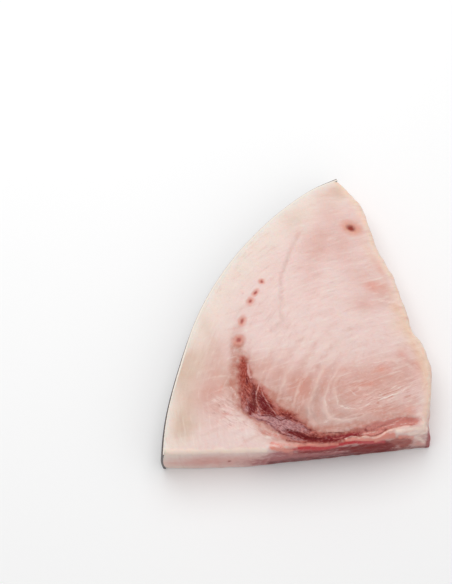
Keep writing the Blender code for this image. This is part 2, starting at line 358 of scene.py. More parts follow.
# %% [markdown]
# ## A slab of meat
#
# The upper face is a grid, stretched so that its border follows the rounded rim: each inner point is
# blended from the four sides, which is how a boat builder lofts a panel between its edges. The rim's
# edges are then extruded down, level by level, to make the wall. A second grid closes the underside.

# %% Build a slab from its outline


def stretch(corner_ring, columns, rows, u, v):
    """Blend the four sides of a ring over a grid: u runs along the first side, v along the second."""
    front = corner_ring[: columns + 1]
    right = corner_ring[columns : columns + rows + 1]
    back = corner_ring[columns + rows : 2 * columns + rows + 1][::-1]
    left = np.concatenate([corner_ring[2 * columns + rows :], corner_ring[:1]])[::-1]
    i, j = np.rint(u * columns).astype(int), np.rint(v * rows).astype(int)
    u, v = u[:, None], v[:, None]
    ruled = front[i] * (1 - v) + back[i] * v + left[j] * (1 - u) + right[j] * u
    low = front[0] * (1 - u) + front[-1] * u
    return ruled - low * (1 - v) - (back[0] * (1 - u) + back[-1] * u) * v


def add_face(mesh, columns, rows, ring):
    """Add a grid whose border is the ring. Return its vertices and the station of each border vertex."""
    made = bmesh.ops.create_grid(mesh, x_segments=columns, y_segments=rows, size=1)["verts"]
    uv = (np.array([vert.co.xy for vert in made]) + 1) / 2
    places = stretch(ring, columns, rows, uv[:, 0], uv[:, 1])
    stations = {}
    for vert, (u, v) in zip(made, uv):
        i, j = round(u * columns), round(v * rows)
        if j == 0:
            stations[vert] = i
        elif i == columns:
            stations[vert] = columns + j
        elif j == rows:
            stations[vert] = 2 * columns + rows - i
        elif i == 0:
            stations[vert] = 2 * (columns + rows) - j
    return made, places, stations


def slab(walks, columns, rows, levels):
    """Build a closed slab inside the walks: its upper face, its walls level by level, its underside."""
    mesh = bmesh.new()
    height, inset = levels[0]
    made, places, ring = add_face(mesh, columns, rows, wall_ring(walks, height, inset))
    places[:, 2] = height + relief(places)
    for vert, place in zip(made, places):
        vert.co = place
    for height, inset in levels[1:]:
        rim = [edge for edge in mesh.edges if edge.is_boundary]
        extruded = bmesh.ops.extrude_edge_only(mesh, edges=rim)["geom"]
        level = wall_ring(walks, height, inset)
        lower = {}
        for vert in (item for item in extruded if isinstance(item, bmesh.types.BMVert)):
            above = next(e.other_vert(vert) for e in vert.link_edges if e.other_vert(vert) in ring)
            lower[vert] = ring[above]
            vert.co = level[ring[above]]
        ring = lower
    made, places, _ = add_face(mesh, columns, rows, level)
    for vert, place in zip(made, places):
        vert.co = place
    bmesh.ops.remove_doubles(mesh, verts=[*made, *ring], dist=0.001)
    bmesh.ops.recalc_face_normals(mesh, faces=mesh.faces)
    return mesh


def as_piece(name, mesh):
    """Write a bmesh in millimetres to an object in metres."""
    bmesh.ops.scale(mesh, vec=(MM, MM, MM), verts=mesh.verts)
    data = bpy.data.meshes.new(name)
    mesh.to_mesh(data)
    mesh.free()
    piece = bpy.data.objects.new(name, data)
    bpy.context.scene.collection.objects.link(piece)
    return piece


# %% [markdown]
# ## The flesh and its slot
#
# The pale flesh is one block, about 0.7 mm from point to point, so that a face 150 mm long shows lumps a
# few millimetres wide. The slot for the red muscle could be modelled into the grid, but a Boolean cuts it
# cleanly with a column of the crescent's outline. The red muscle is a slab of its own with a finer grid,
# because its streaks are the finest drawing on the steak.

# %% Flesh, red muscle and skin as meshes
FLESH_GRID = (168, 192)
BLOOD_GRID = (28, 330)
BLOOD_GROWTH = 0.04  # the red muscle is this much larger than its slot, so that no gap shows
SKIN_STEPS, SKIN_LEVELS = 300, 9


def blood_walks(out):
    """The crescent's four sides, grown outwards by a little."""
    ends = np.array([INNER_LINE[0], OUTER_LINE[0]]), np.array([OUTER_LINE[-1], INNER_LINE[-1]])
    columns, rows = BLOOD_GRID
    sides = [(ends[0], columns), (OUTER_LINE, rows), (ends[1], columns), (INNER_LINE[::-1], rows)]
    walks = [walk("blood", line, steps) for line, steps in sides]
    return [(side, points + way * out, way) for side, points, way in walks]


def make_flesh():
    columns, rows = FLESH_GRID
    angles = np.linspace(TIP_ANGLE, FRONT_ANGLE, 400)
    walks = [
        walk("front", FRONT_LINE, columns),
        walk("medial", MEDIAL_LINE, rows),
        walk("flank", on_flank(angles, SKIN_THICKNESS), columns + rows),
    ]
    flesh = as_piece("raw_flesh", slab(walks, columns, rows, edge_levels(TOP_RIM, FOOT_RIM, 17)))
    mesh = bmesh.new()
    outline = np.concatenate([points[:-1] for _, points, _ in blood_walks(0.0)])
    base = mesh.faces.new([mesh.verts.new((*point, -10)) for point in outline])
    column = bmesh.ops.extrude_face_region(mesh, geom=[base])["geom"]
    upper = [item for item in column if isinstance(item, bmesh.types.BMVert)]
    bmesh.ops.translate(mesh, verts=upper, vec=(0, 0, 50))
    bmesh.ops.recalc_face_normals(mesh, faces=mesh.faces)
    cutter = as_piece("slot_cutter", mesh)
    slot = flesh.modifiers.new("slot", "BOOLEAN")
    slot.operation, slot.solver, slot.object = "DIFFERENCE", "MANIFOLD", cutter
    with bpy.context.temp_override(object=flesh, active_object=flesh):
        bpy.ops.object.modifier_apply(modifier=slot.name)
    bpy.data.objects.remove(cutter)
    return flesh


def make_red_muscle():
    columns, rows = BLOOD_GRID
    return as_piece("red_muscle", slab(blood_walks(BLOOD_GROWTH), columns, rows, edge_levels(0.02, 0.3, 12)))


def make_skin():
    """Turn the skin's upright section about the flank's centre, then bend it to the steak's curve."""
    levels = edge_levels(0.5, 0.4, 16)
    inner = [(height, SKIN_THICKNESS + 0.05) for height in np.linspace(0, THICKNESS, SKIN_LEVELS)]
    section = [
        (depth - FLANK_BELLY * math.sin(math.pi * height / THICKNESS), height)
        for height, depth in levels + inner
    ]
    mesh = bmesh.new()
    start = Vector((math.cos(TIP_ANGLE), math.sin(TIP_ANGLE), 0))
    corners = [Vector((*FLANK_CENTRE, z)) + start * (FLANK_RADIUS - depth) for depth, z in section]
    face = mesh.faces.new([mesh.verts.new(corner) for corner in corners])
    geom = [face, *face.edges, *face.verts]
    turn = FRONT_ANGLE - TIP_ANGLE
    bmesh.ops.spin(mesh, geom=geom, cent=(*FLANK_CENTRE, 0), axis=(0, 0, 1), angle=turn, steps=SKIN_STEPS)
    places = np.array([vert.co for vert in mesh.verts])
    centred = places[:, :2] - FLANK_CENTRE
    angle = np.arctan2(centred[:, 1], centred[:, 0]) % math.tau
    moved = on_flank(angle, FLANK_RADIUS - np.linalg.norm(centred, axis=1))
    lift = 1 + relief(moved) / THICKNESS
    for vert, at, (x, y), scale in zip(mesh.verts, angle, moved, lift):
        if at > FRONT_ANGLE - math.radians(0.1):  # its last section lies flush with the front
            y -= float(np.interp(x, *zip(*FRONT_REACH))) * (1 - vert.co.z / THICKNESS) + 0.3
        vert.co = (x, y, vert.co.z * scale)
    bmesh.ops.recalc_face_normals(mesh, faces=mesh.faces)
    return as_piece("skin_strip", mesh)


flesh, red_muscle, skin = make_flesh(), make_red_muscle(), make_skin()
for piece in (flesh, red_muscle, skin):
    piece.data.shade_smooth()
    piece.data.set_sharp_from_angle(angle=math.radians(50))
    print(piece.name, "has", sum(len(f.vertices) - 2 for f in piece.data.polygons), "triangles")

# %% [markdown]
# ## Muscle rings
#
# A swordfish's white muscle is built of thin cones, one inside the other, with a sheet of connective
# tissue between them. A cut shows the sheets as rings, like those of wood. A Wave texture gives even
# rings, but these are drawn out to the upper right and fan open on the left. So a few rings are given
# as points, and every point of the meat gets a number: 1 on the first ring, 2 on the next, and the right
# share in between. A line then shows wherever that number is whole.

# %% Number the rings
RING_CENTRE = np.array([39.5, -42.5])
RING_BEYOND = 9.0  # how far apart the rings lie outside the last one drawn
RINGS = [
    [(23.5, -41.5), (24.5, -45.5), (27.5, -49.5), (32.5, -50), (39, -48.8), (43, -46.8), (50.5, -44),
     (57.5, -41.5), (61.5, -37.5), (55.5, -34), (44.5, -33.5), (31.5, -36), (26.5, -37.5)],
    [(19.2, -45.5), (20.5, -39.5), (23.5, -35.5), (28.5, -32), (34.5, -30.5), (41.5, -28.5), (47.5, -27.5),
     (54.5, -27.5), (61.5, -30.5), (66, -34), (68, -38), (64.5, -42.5), (59.5, -46.5), (54.5, -48.5),
     (49.5, -50.5), (44.5, -52), (40.5, -52.5), (36.5, -55.5), (30.5, -57.5), (25.5, -57.5),
     (21.5, -55.5), (19.5, -52)],
    [(13.5, -51.5), (15.5, -45.5), (17.5, -40.5), (20.5, -35.5), (24.5, -29.5), (29.5, -24.5),
     (35.5, -21.5), (41.5, -19.5), (51.5, -19.5), (59.5, -21.5), (65.5, -25.5), (70.5, -30.5),
     (72.5, -37.5), (70.5, -44.5), (66.5, -49.5), (59.5, -53.5), (49.5, -57), (37.5, -60.5),
     (27.5, -63), (19.5, -63), (15.5, -60.5), (13.5, -56.5)],
    [(4.5, -57.5), (5.5, -51.5), (7.5, -45.5), (9.5, -39.5), (12.5, -33.5), (16.5, -27.5), (21.5, -21.5),
     (29.5, -16), (39.5, -12), (49.5, -11), (59.5, -13), (67.5, -17.5), (75.5, -25.5), (79.5, -37.5),
     (76.5, -49.5), (69.5, -57.5), (55.5, -63.5), (39.5, -67.5), (23.5, -69.5), (11.5, -67.5), (5.5, -63.5)],
    [(-4.5, -56.5), (-3, -49.5), (-0.5, -43.5), (3.5, -35.5), (8.5, -27.5), (14.5, -19), (23.5, -11),
     (33.5, -6.5), (44.5, -4), (59.5, -4), (71.5, -9), (83.5, -19.5), (89.5, -37.5), (85.5, -55.5),
     (73.5, -67.5), (49.5, -75), (19.5, -77), (1.5, -72), (-4.5, -64.5)],
    [(-12.5, -53), (-11, -46.5), (-9.5, -41.5), (-6.5, -34.5), (-1.5, -25.5), (4.5, -15.5), (10.5, -8.5),
     (15.5, -5), (23.5, -2.5), (31.5, -0.5), (44, 3), (62, 4), (80, -4), (94, -20), (99, -40),
     (92, -62), (74, -78), (40, -84), (8, -82), (-9, -70)],
    [(-21, -50), (-18, -40), (-13.5, -30), (-8, -19.5), (-1.5, -8.5), (7, 0), (17, 5.5), (30, 9),
     (44, 11.5), (62, 12), (84, 4), (100, -14), (107, -40), (100, -66), (76, -88), (38, -94), (2, -92),
     (-17, -72)],
]


def ring_number(points):
    """The ring number of each point, and how far apart the rings are there."""
    centred = points[:, :2] - RING_CENTRE
    angle, radius = np.arctan2(centred[:, 1], centred[:, 0]), np.linalg.norm(centred, axis=1)
    number, gap = np.zeros(len(points)), np.full(len(points), RING_BEYOND)
    inner = np.zeros(len(points))
    for ring in RINGS:
        line = smooth_line(ring, closed=True) - RING_CENTRE
        turn, size = np.arctan2(line[:, 1], line[:, 0]), np.linalg.norm(line, axis=1)
        order = np.argsort(turn)
        outer = np.interp(angle, turn[order], size[order], period=math.tau)
        share = (radius - inner) / np.maximum(outer - inner, 1)
        number += np.clip(share, 0, 1)
        gap = np.where(share > 0, np.maximum(outer - inner, 1), gap)
        inner = outer
    beyond = np.maximum(radius - inner, 0)
    return number + beyond / RING_BEYOND, np.where(beyond > 0, RING_BEYOND, gap)


# %% [markdown]
# ## Where the colours go
#
# The colours of a cut face don't repeat, so no tiling pattern can place them. A painter would lay one
# thin wash over another. The script does the same: each wash has a mask, which is a number at every
# vertex, made of soft ellipses and soft lines given one by one. The mesh is fine enough to carry them, and
# the material later frays their edges with noise.

# %% Tools for masks
WANDER = 0.6  # how far a drawing strays from its lines
WALL_DRIFT = (1.8, 1.2)  # how far it shifts down the walls that aren't in front
FOLD_DEPTH, FOLD_START, FOLD_SLIDE = 6.0, -39.0, 0.033  # how the front wall is folded flat


def soft_lines(points, lines):
    """The strongest of some soft lines at each point: (half width, strength, points)."""
    strongest = np.zeros(len(points))
    for width, strength, places in lines:
        line = smooth_line(places)
        near = ((points > line.min(0) - 3 * width) & (points < line.max(0) + 3 * width)).all(1)
        if near.any():
            drawn = strength * bump(measure(line, points[near])[0], width)
            strongest[near] = np.maximum(strongest[near], drawn)
    return strongest


def laid_flat(points):
    """Places in plan. The front wall is folded forward, so that its foot lies before its top."""
    gap, _, side = measure(FRONT_LINE, points)
    on_front, down = np.clip(2 - gap * side, 0, 1), 1 - points[:, 2] / THICKNESS
    wander = WANDER * np.column_stack([rough(points, 7, 31), rough(points, 7, 37)])
    plan = points[:, :2] + wander + (down * (1 - on_front))[:, None] * WALL_DRIFT
    slide = FOLD_SLIDE * (plan[:, 0] - FOLD_START)
    return plan - (on_front * down)[:, None] * np.column_stack([slide, np.full(len(points), FOLD_DEPTH)])


# %% [markdown]
# Under the skin lies a band of cream-coloured fat. Away from it the muscle is pink, with salmon patches
# where more blood was left and beige ones where connective tissue lies dense. Towards the medial edge it
# turns to the colour of straw, and next to the red muscle to a brownish haze. The last four masks don't
# colour the flesh: they say where its sheets and its crinkled fibres show.

# %% Masks for the pale flesh
# Each spot is (x, y, long radius, short radius, turn in degrees, strength).
PALE = {
    "blush": [
        (38, -42, 28, 17, 18, 0.7), (20, -44, 34, 14, 0, 0.3), (35, -58, 9, 3, 10, 0.35),
        (28, 42, 7, 7, 0, 0.15), (-10, -38, 9, 14, -20, 0.45), (-48, -50, 12, 14, 20, 0.75),
        (-44, -28, 9, 16, 0, 0.55), (22, 60, 12, 9, 0, 0.42), (18, 72, 9, 7, 0, 0.35),
        (17, 42, 14, 13, 0, 0.5), (8, 24, 9, 20, 0, 0.35), (39, 22, 13, 18, 20, 0.5),
        (37, 3, 11, 7, 0, 0.4), (50, 10, 5, 5, 0, 0.5), (36, 52, 6, 6, 0, 0.5),
        (-10, -74, 12, 3, -8, 0.5), (2, -44, 8, 11, -20, 0.75), (-20, -32, 7, 9, -30, 0.6),
        (50, -57, 13, 3.5, 12, 0.7), (60, -36, 10, 10, 0, 0.35), (64, -51, 6, 3, 0, 0.35),
    ],
    "salmon": [
        (48, 27, 3, 9, 25, 0.6), (45, 15, 8, 4, -10, 0.8), (56, 3, 5, 3, 0, 0.4),
        (39, 3.5, 10, 2.5, 5, 0.25), (14.5, -34.5, 2, 5, -10, 0.55), (2.5, -44, 2.4, 8, -12, 0.4),
        (25.5, -34, 3.5, 2, 20, 0.6), (46, -32.5, 5, 2.6, 10, 0.6), (38, -42, 7, 2.4, 12, 0.7),
        (44, -35, 10, 2, 10, 0.35), (58, -24, 4, 4, 40, 0.6), (66, -31.5, 3, 6, 10, 0.6),
        (61, -56.5, 5, 2.5, 25, 0.8), (59, -59.6, 8, 2, 8, 0.3), (37, -57.5, 7, 1.5, 10, 0.4),
        (-42, -44, 5, 1.2, 60, 0.5), (-40, -60, 6, 1.5, 40, 0.4),
    ],
    "tan": [
        (-63, -40, 10, 24, 12, 0.6), (-62, -66, 8, 9, 0, 0.6), (-54, -27, 10, 12, 0, 0.4),
        (-40, -40, 7, 13, 0, 0.4), (-50, -8, 5, 18, 25, 0.3), (26, 74, 8, 6, 0, 0.6),
        (0, 56, 10, 8, 30, 0.4), (45, -39, 6, 1.5, 10, 0.5),
    ],
    "straw": [
        (41, 38, 3, 16, 22, 0.4), (55, 5, 4, 15, 18, 0.45), (62, -10, 4, 10, 22, 0.5),
        (67, -24, 4, 12, 15, 0.6), (71, -38, 4, 16, 0, 0.6), (57, 3, 5, 2, 0, 0.3),
        (54, -10, 4, 11, 15, 0.3),
    ],
    "haze": [
        (-31.5, -17.5, 3.2, 4, 0, 1.0), (-31, -22.5, 3.2, 4, 0, 0.35), (-26.5, -26, 1.8, 4, 0, 0.5),
        (-35.5, -20, 2, 8, 0, 0.5), (-14, -48, 2.2, 3, 35, 0.8), (-32, -8, 3, 6, 0, 0.35),
        (-30, 10.5, 0.9, 0.7, 0, 0.6), (-34.4, -34, 3.4, 11, 0, 0.9),
        (-36.5, -41.4, 2.4, 1.6, 30, 0.55), (-23.5, -31, 3.4, 8, 0, 0.5), (-10, -49, 4, 6, 35, 0.7),
        (-17.5, -39.5, 4, 3, -30, 0.5), (-1, -51, 4, 4, 0, 0.4), (-40, -42, 3, 9, 0, 0.3),
        (0, -56, 6, 3, -30, 0.4), (18, -65, 12, 2.2, 0, 0.5), (33, -61, 6, 2.5, 12, 0.5),
        (-34.5, -50, 3, 9, 8, 0.6), (-18, -69, 8, 2.5, -30, 0.7), (-6, -53, 7, 4, -35, 0.3),
        (50, -60, 14, 2.2, 14, 0.6), (14, -66.5, 9, 1.8, 2, 0.6), (31, -64.5, 8, 1.4, 8, 0.5),
    ],
    "beige": [
        (2, -58, 9, 5, -20, 0.7), (12, -52, 9, 8, 0, 0.3), (22, -61, 17, 5, 0, 0.6),
        (24, -52, 6, 6, 0, 0.4), (-9, -46, 4, 8, 30, 0.5), (10, -47, 3, 8, -10, 0.5),
    ],
    "ring_soft": [
        (-2, -42, 15, 20, 0, 0.8), (16, -38, 8, 22, 0, 0.65), (22, -60, 16, 5, 0, 0.6),
        (38, -18, 28, 10, 0, 0.15), (60, -30, 10, 10, 0, 0.4),
    ],
    "ring_crisp": [
        (50, -49, 14, 4.5, 18, 1.2), (24, -56, 10, 6, -30, 0.7), (42, -28.5, 10, 2, 5, 0.6),
        (29, -48.5, 4, 3.5, 0, 0.5),
    ],
    "crinkle": [
        (50, -46, 18, 6, 18, 1.2), (42, -53, 14, 5, 10, 0.8), (50, -31, 14, 6, 0, 0.5),
        (30, -44, 9, 8, 0, 0.6), (62, -50, 8, 6, 20, 0.7),
    ],
    "crinkle_left": [
        (-40, -54, 9, 8, -20, 1.1), (-34, -64, 10, 4, -15, 0.6), (-18, -69, 8, 3, -30, 0.8),
    ],
}

# %% [markdown]
# The red muscle is the busiest part. Blood has settled in it in clots and in streaks along the crescent.
# Thin pale sheets cross it, and where the knife slid along its fibres it shines mauve, a sheen that is
# painted into its colour. Its colour runs out past its edge, most of all down to the lip, whose crest has
# a painted highlight. The front wall below the lip has its own spots: pink on the left, mauve and dark
# where the red muscle lies close behind it, painted shade under the lip and towards the foot, and a line
# of painted shade along the foot.

# %% Masks for the red muscle and the lip
# The stain is the outline of all that is red, and FRAY says where that outline is most ragged.
STAIN = [
    (-31, -25.5), (-32.6, -30), (-32.5, -35), (-32.6, -40), (-32.3, -45), (-32, -50), (-31, -55),
    (-28.5, -58.5), (-25.5, -60.6), (-21, -63.1), (-16.4, -65.6), (-11, -69.3), (-5.5, -73.4),
    (0, -75.1), (8, -75.2), (15, -75.4), (20, -75), (24, -73.6), (27, -72.2), (33, -71.5), (40, -71.2),
    (45, -70.2), (49, -67.7), (55, -65.2), (58.5, -64), (62.5, -63.3), (63.3, -62.2), (60, -61.6),
    (55, -61.9), (50, -62.6), (44, -64), (38, -65.7), (30, -67.4), (24, -68.7), (17, -69.5),
    (11.5, -68.3), (8.8, -66.6), (5.8, -65.2), (2.8, -62.4), (-0.6, -59.8), (-3.5, -58), (-7.5, -56),
    (-10.2, -54.3), (-14, -51), (-17, -46.5), (-19.9, -43.2), (-22.6, -40.5), (-25, -37.8),
    (-26.4, -32.5), (-28.3, -27),
]
STAIN_RING = smooth_line(STAIN, closed=True)
FRAY = [
    (-11, -50, 10, 9, 0, 0.8), (-2, -57, 6, 4, 0, 0.8), (-20, -68, 14, 4, -30, 2.0),
    (-33, -48, 4, 12, 0, 0.8),
]
RED = {
    "rust": [
        (-29.6, -33, 2.8, 10, 0, 1.1), (-19, -44, 3, 5, 35, 0.7), (-25.8, -42.5, 2.2, 2, 0, 0.8),
        (-14.5, -50, 2.2, 6, 30, 0.8), (-6, -57.8, 6, 2, -22, 0.9), (30, -68.5, 10, 1.6, 8, 0.5),
    ],
    "coral": [
        (36, -66.8, 9, 2.2, 12, 0.5), (40, -69.3, 5, 1, 8, 0.8), (48, -64.4, 10, 2.6, 15, 1.0),
        (59, -62.6, 8, 2.2, 8, 1.4), (-17.6, -45.5, 1.6, 4.5, 35, 0.8), (-24, -40.3, 3, 1.6, -25, 0.7),
        (-11.6, -54.8, 1.5, 4, 30, 0.75), (-29.3, -53.5, 1.2, 3.5, 0, 0.7), (44, -68.2, 4, 1, 15, 0.6),
        (1, -61.6, 3, 1.3, -35, 0.6), (2.5, -73.4, 4, 0.8, 0, 0.6), (-8, -71.8, 6, 1.2, -14, 0.7),
    ],
    "umber": [(-23.8, -48, 1.8, 7, 4, 0.9), (-25.5, -55, 2.5, 3, 0, 0.7), (4, -63.5, 3, 1.6, -40, 0.4)],
    "crimson": [
        (20, -71.6, 9, 1.8, 2, 1.1), (31, -69.6, 8, 1.5, 8, 0.8), (38, -66.6, 9, 1.1, 12, 0.7),
        (-6.5, -58.5, 4, 1, -20, 0.4),
    ],
    "maroon": [
        (-18, -54.5, 2.4, 4.5, 15, 1.1), (-13.8, -58.3, 2.6, 1.4, -35, 0.9),
        (-24, -47.5, 1.3, 4, 5, 0.7), (-24.5, -56, 2, 2.4, 0, 0.9), (-26.3, -58.8, 1.6, 1, 0, 0.8),
        (-27.7, -39.8, 0.8, 2, 0, 0.7), (6.3, -66.8, 2.4, 1.2, -15, 0.6), (3, -70.6, 6, 1.1, -18, 0.95),
        (9, -72.6, 8, 1.4, -3, 0.8), (-2, -69.9, 6, 0.9, -15, 1.0), (-19.6, -50.5, 1.5, 3.5, 10, 0.8),
        (18, -73.9, 7, 1.2, 6, 1.0), (-4, -60.6, 4, 0.9, -15, 0.6), (-26, -53.5, 1.2, 2, 0, 0.8),
        (-14.3, -54.2, 1.2, 2.2, 30, 0.7),
    ],
    # Painted sheen: the mauve shine where the knife slid along the red muscle's fibres.
    "mauve": [
        (-7, -64.3, 11, 3.2, -16, 1.15), (-19, -60.5, 5, 1.5, -12, 1.1), (-22.5, -62, 2.5, 1.2, 0, 0.8),
        (-24.3, -60, 1.8, 1.2, -10, 1.2), (-28, -56.5, 1.6, 2, 0, 1.0), (-21, -56, 0.9, 2.4, 0, 0.8),
        (-27, -51.3, 1.0, 2.6, 0, 0.55), (-15, -65.3, 3.5, 1.6, -35, 0.9),
        (-7, -68.6, 8, 2.4, -20, 0.75), (-3.5, -72.6, 5, 1.1, -12, 0.65),
        (3.5, -66.8, 5, 1.5, -25, 0.4), (-10.5, -60.5, 3.5, 1.2, -15, 0.35),
        (2.5, -72.4, 3.5, 0.8, -8, 0.6),
    ],
    "wall_pink": [(-45, -85, 40, 3.5, 2, 1.0), (65.3, -74.6, 4, 4.5, 0, 1.0), (1, -82, 5, 1.8, 0, 0.6)],
    # Mauve where the red muscle lies close behind the wall and on the corner facet; the spots low on the
    # left half are painted shade towards the foot.
    "wall_mauve_and_shade": [
        (4, -82, 20, 3.6, 5, 1.4), (-9, -80.3, 9, 1.3, 3, 0.65), (-12, -85.5, 20, 3, 3, 1.0),
        (38, -79.5, 18, 4, 5, 1.4), (73, -66, 3.5, 4, 0, 1.2), (70.3, -74, 1.4, 5.5, -12, 1.8),
    ],
    # Dark red where the red muscle lies close behind the wall; the two thin spots at x 9 and 21 are painted
    # shade under the lip.
    "wall_dark_and_lip_shade": [
        (34.5, -78.3, 8, 3, 5, 1.7), (46.5, -77.2, 6.5, 3.4, 5, 1.8), (45.5, -75.4, 5, 1.2, 0, 0.8),
        (21, -78, 6, 1.1, 5, 1.2), (9, -79.4, 11, 1.3, 3, 1.3),
    ],
    "wall_brown": [
        (57, -74.6, 4.8, 3.5, 0, 1.6), (51, -73.6, 3, 1.3, 0, 1.0), (-37.5, -84.8, 0.9, 0.5, 0, 1.3),
    ],
}
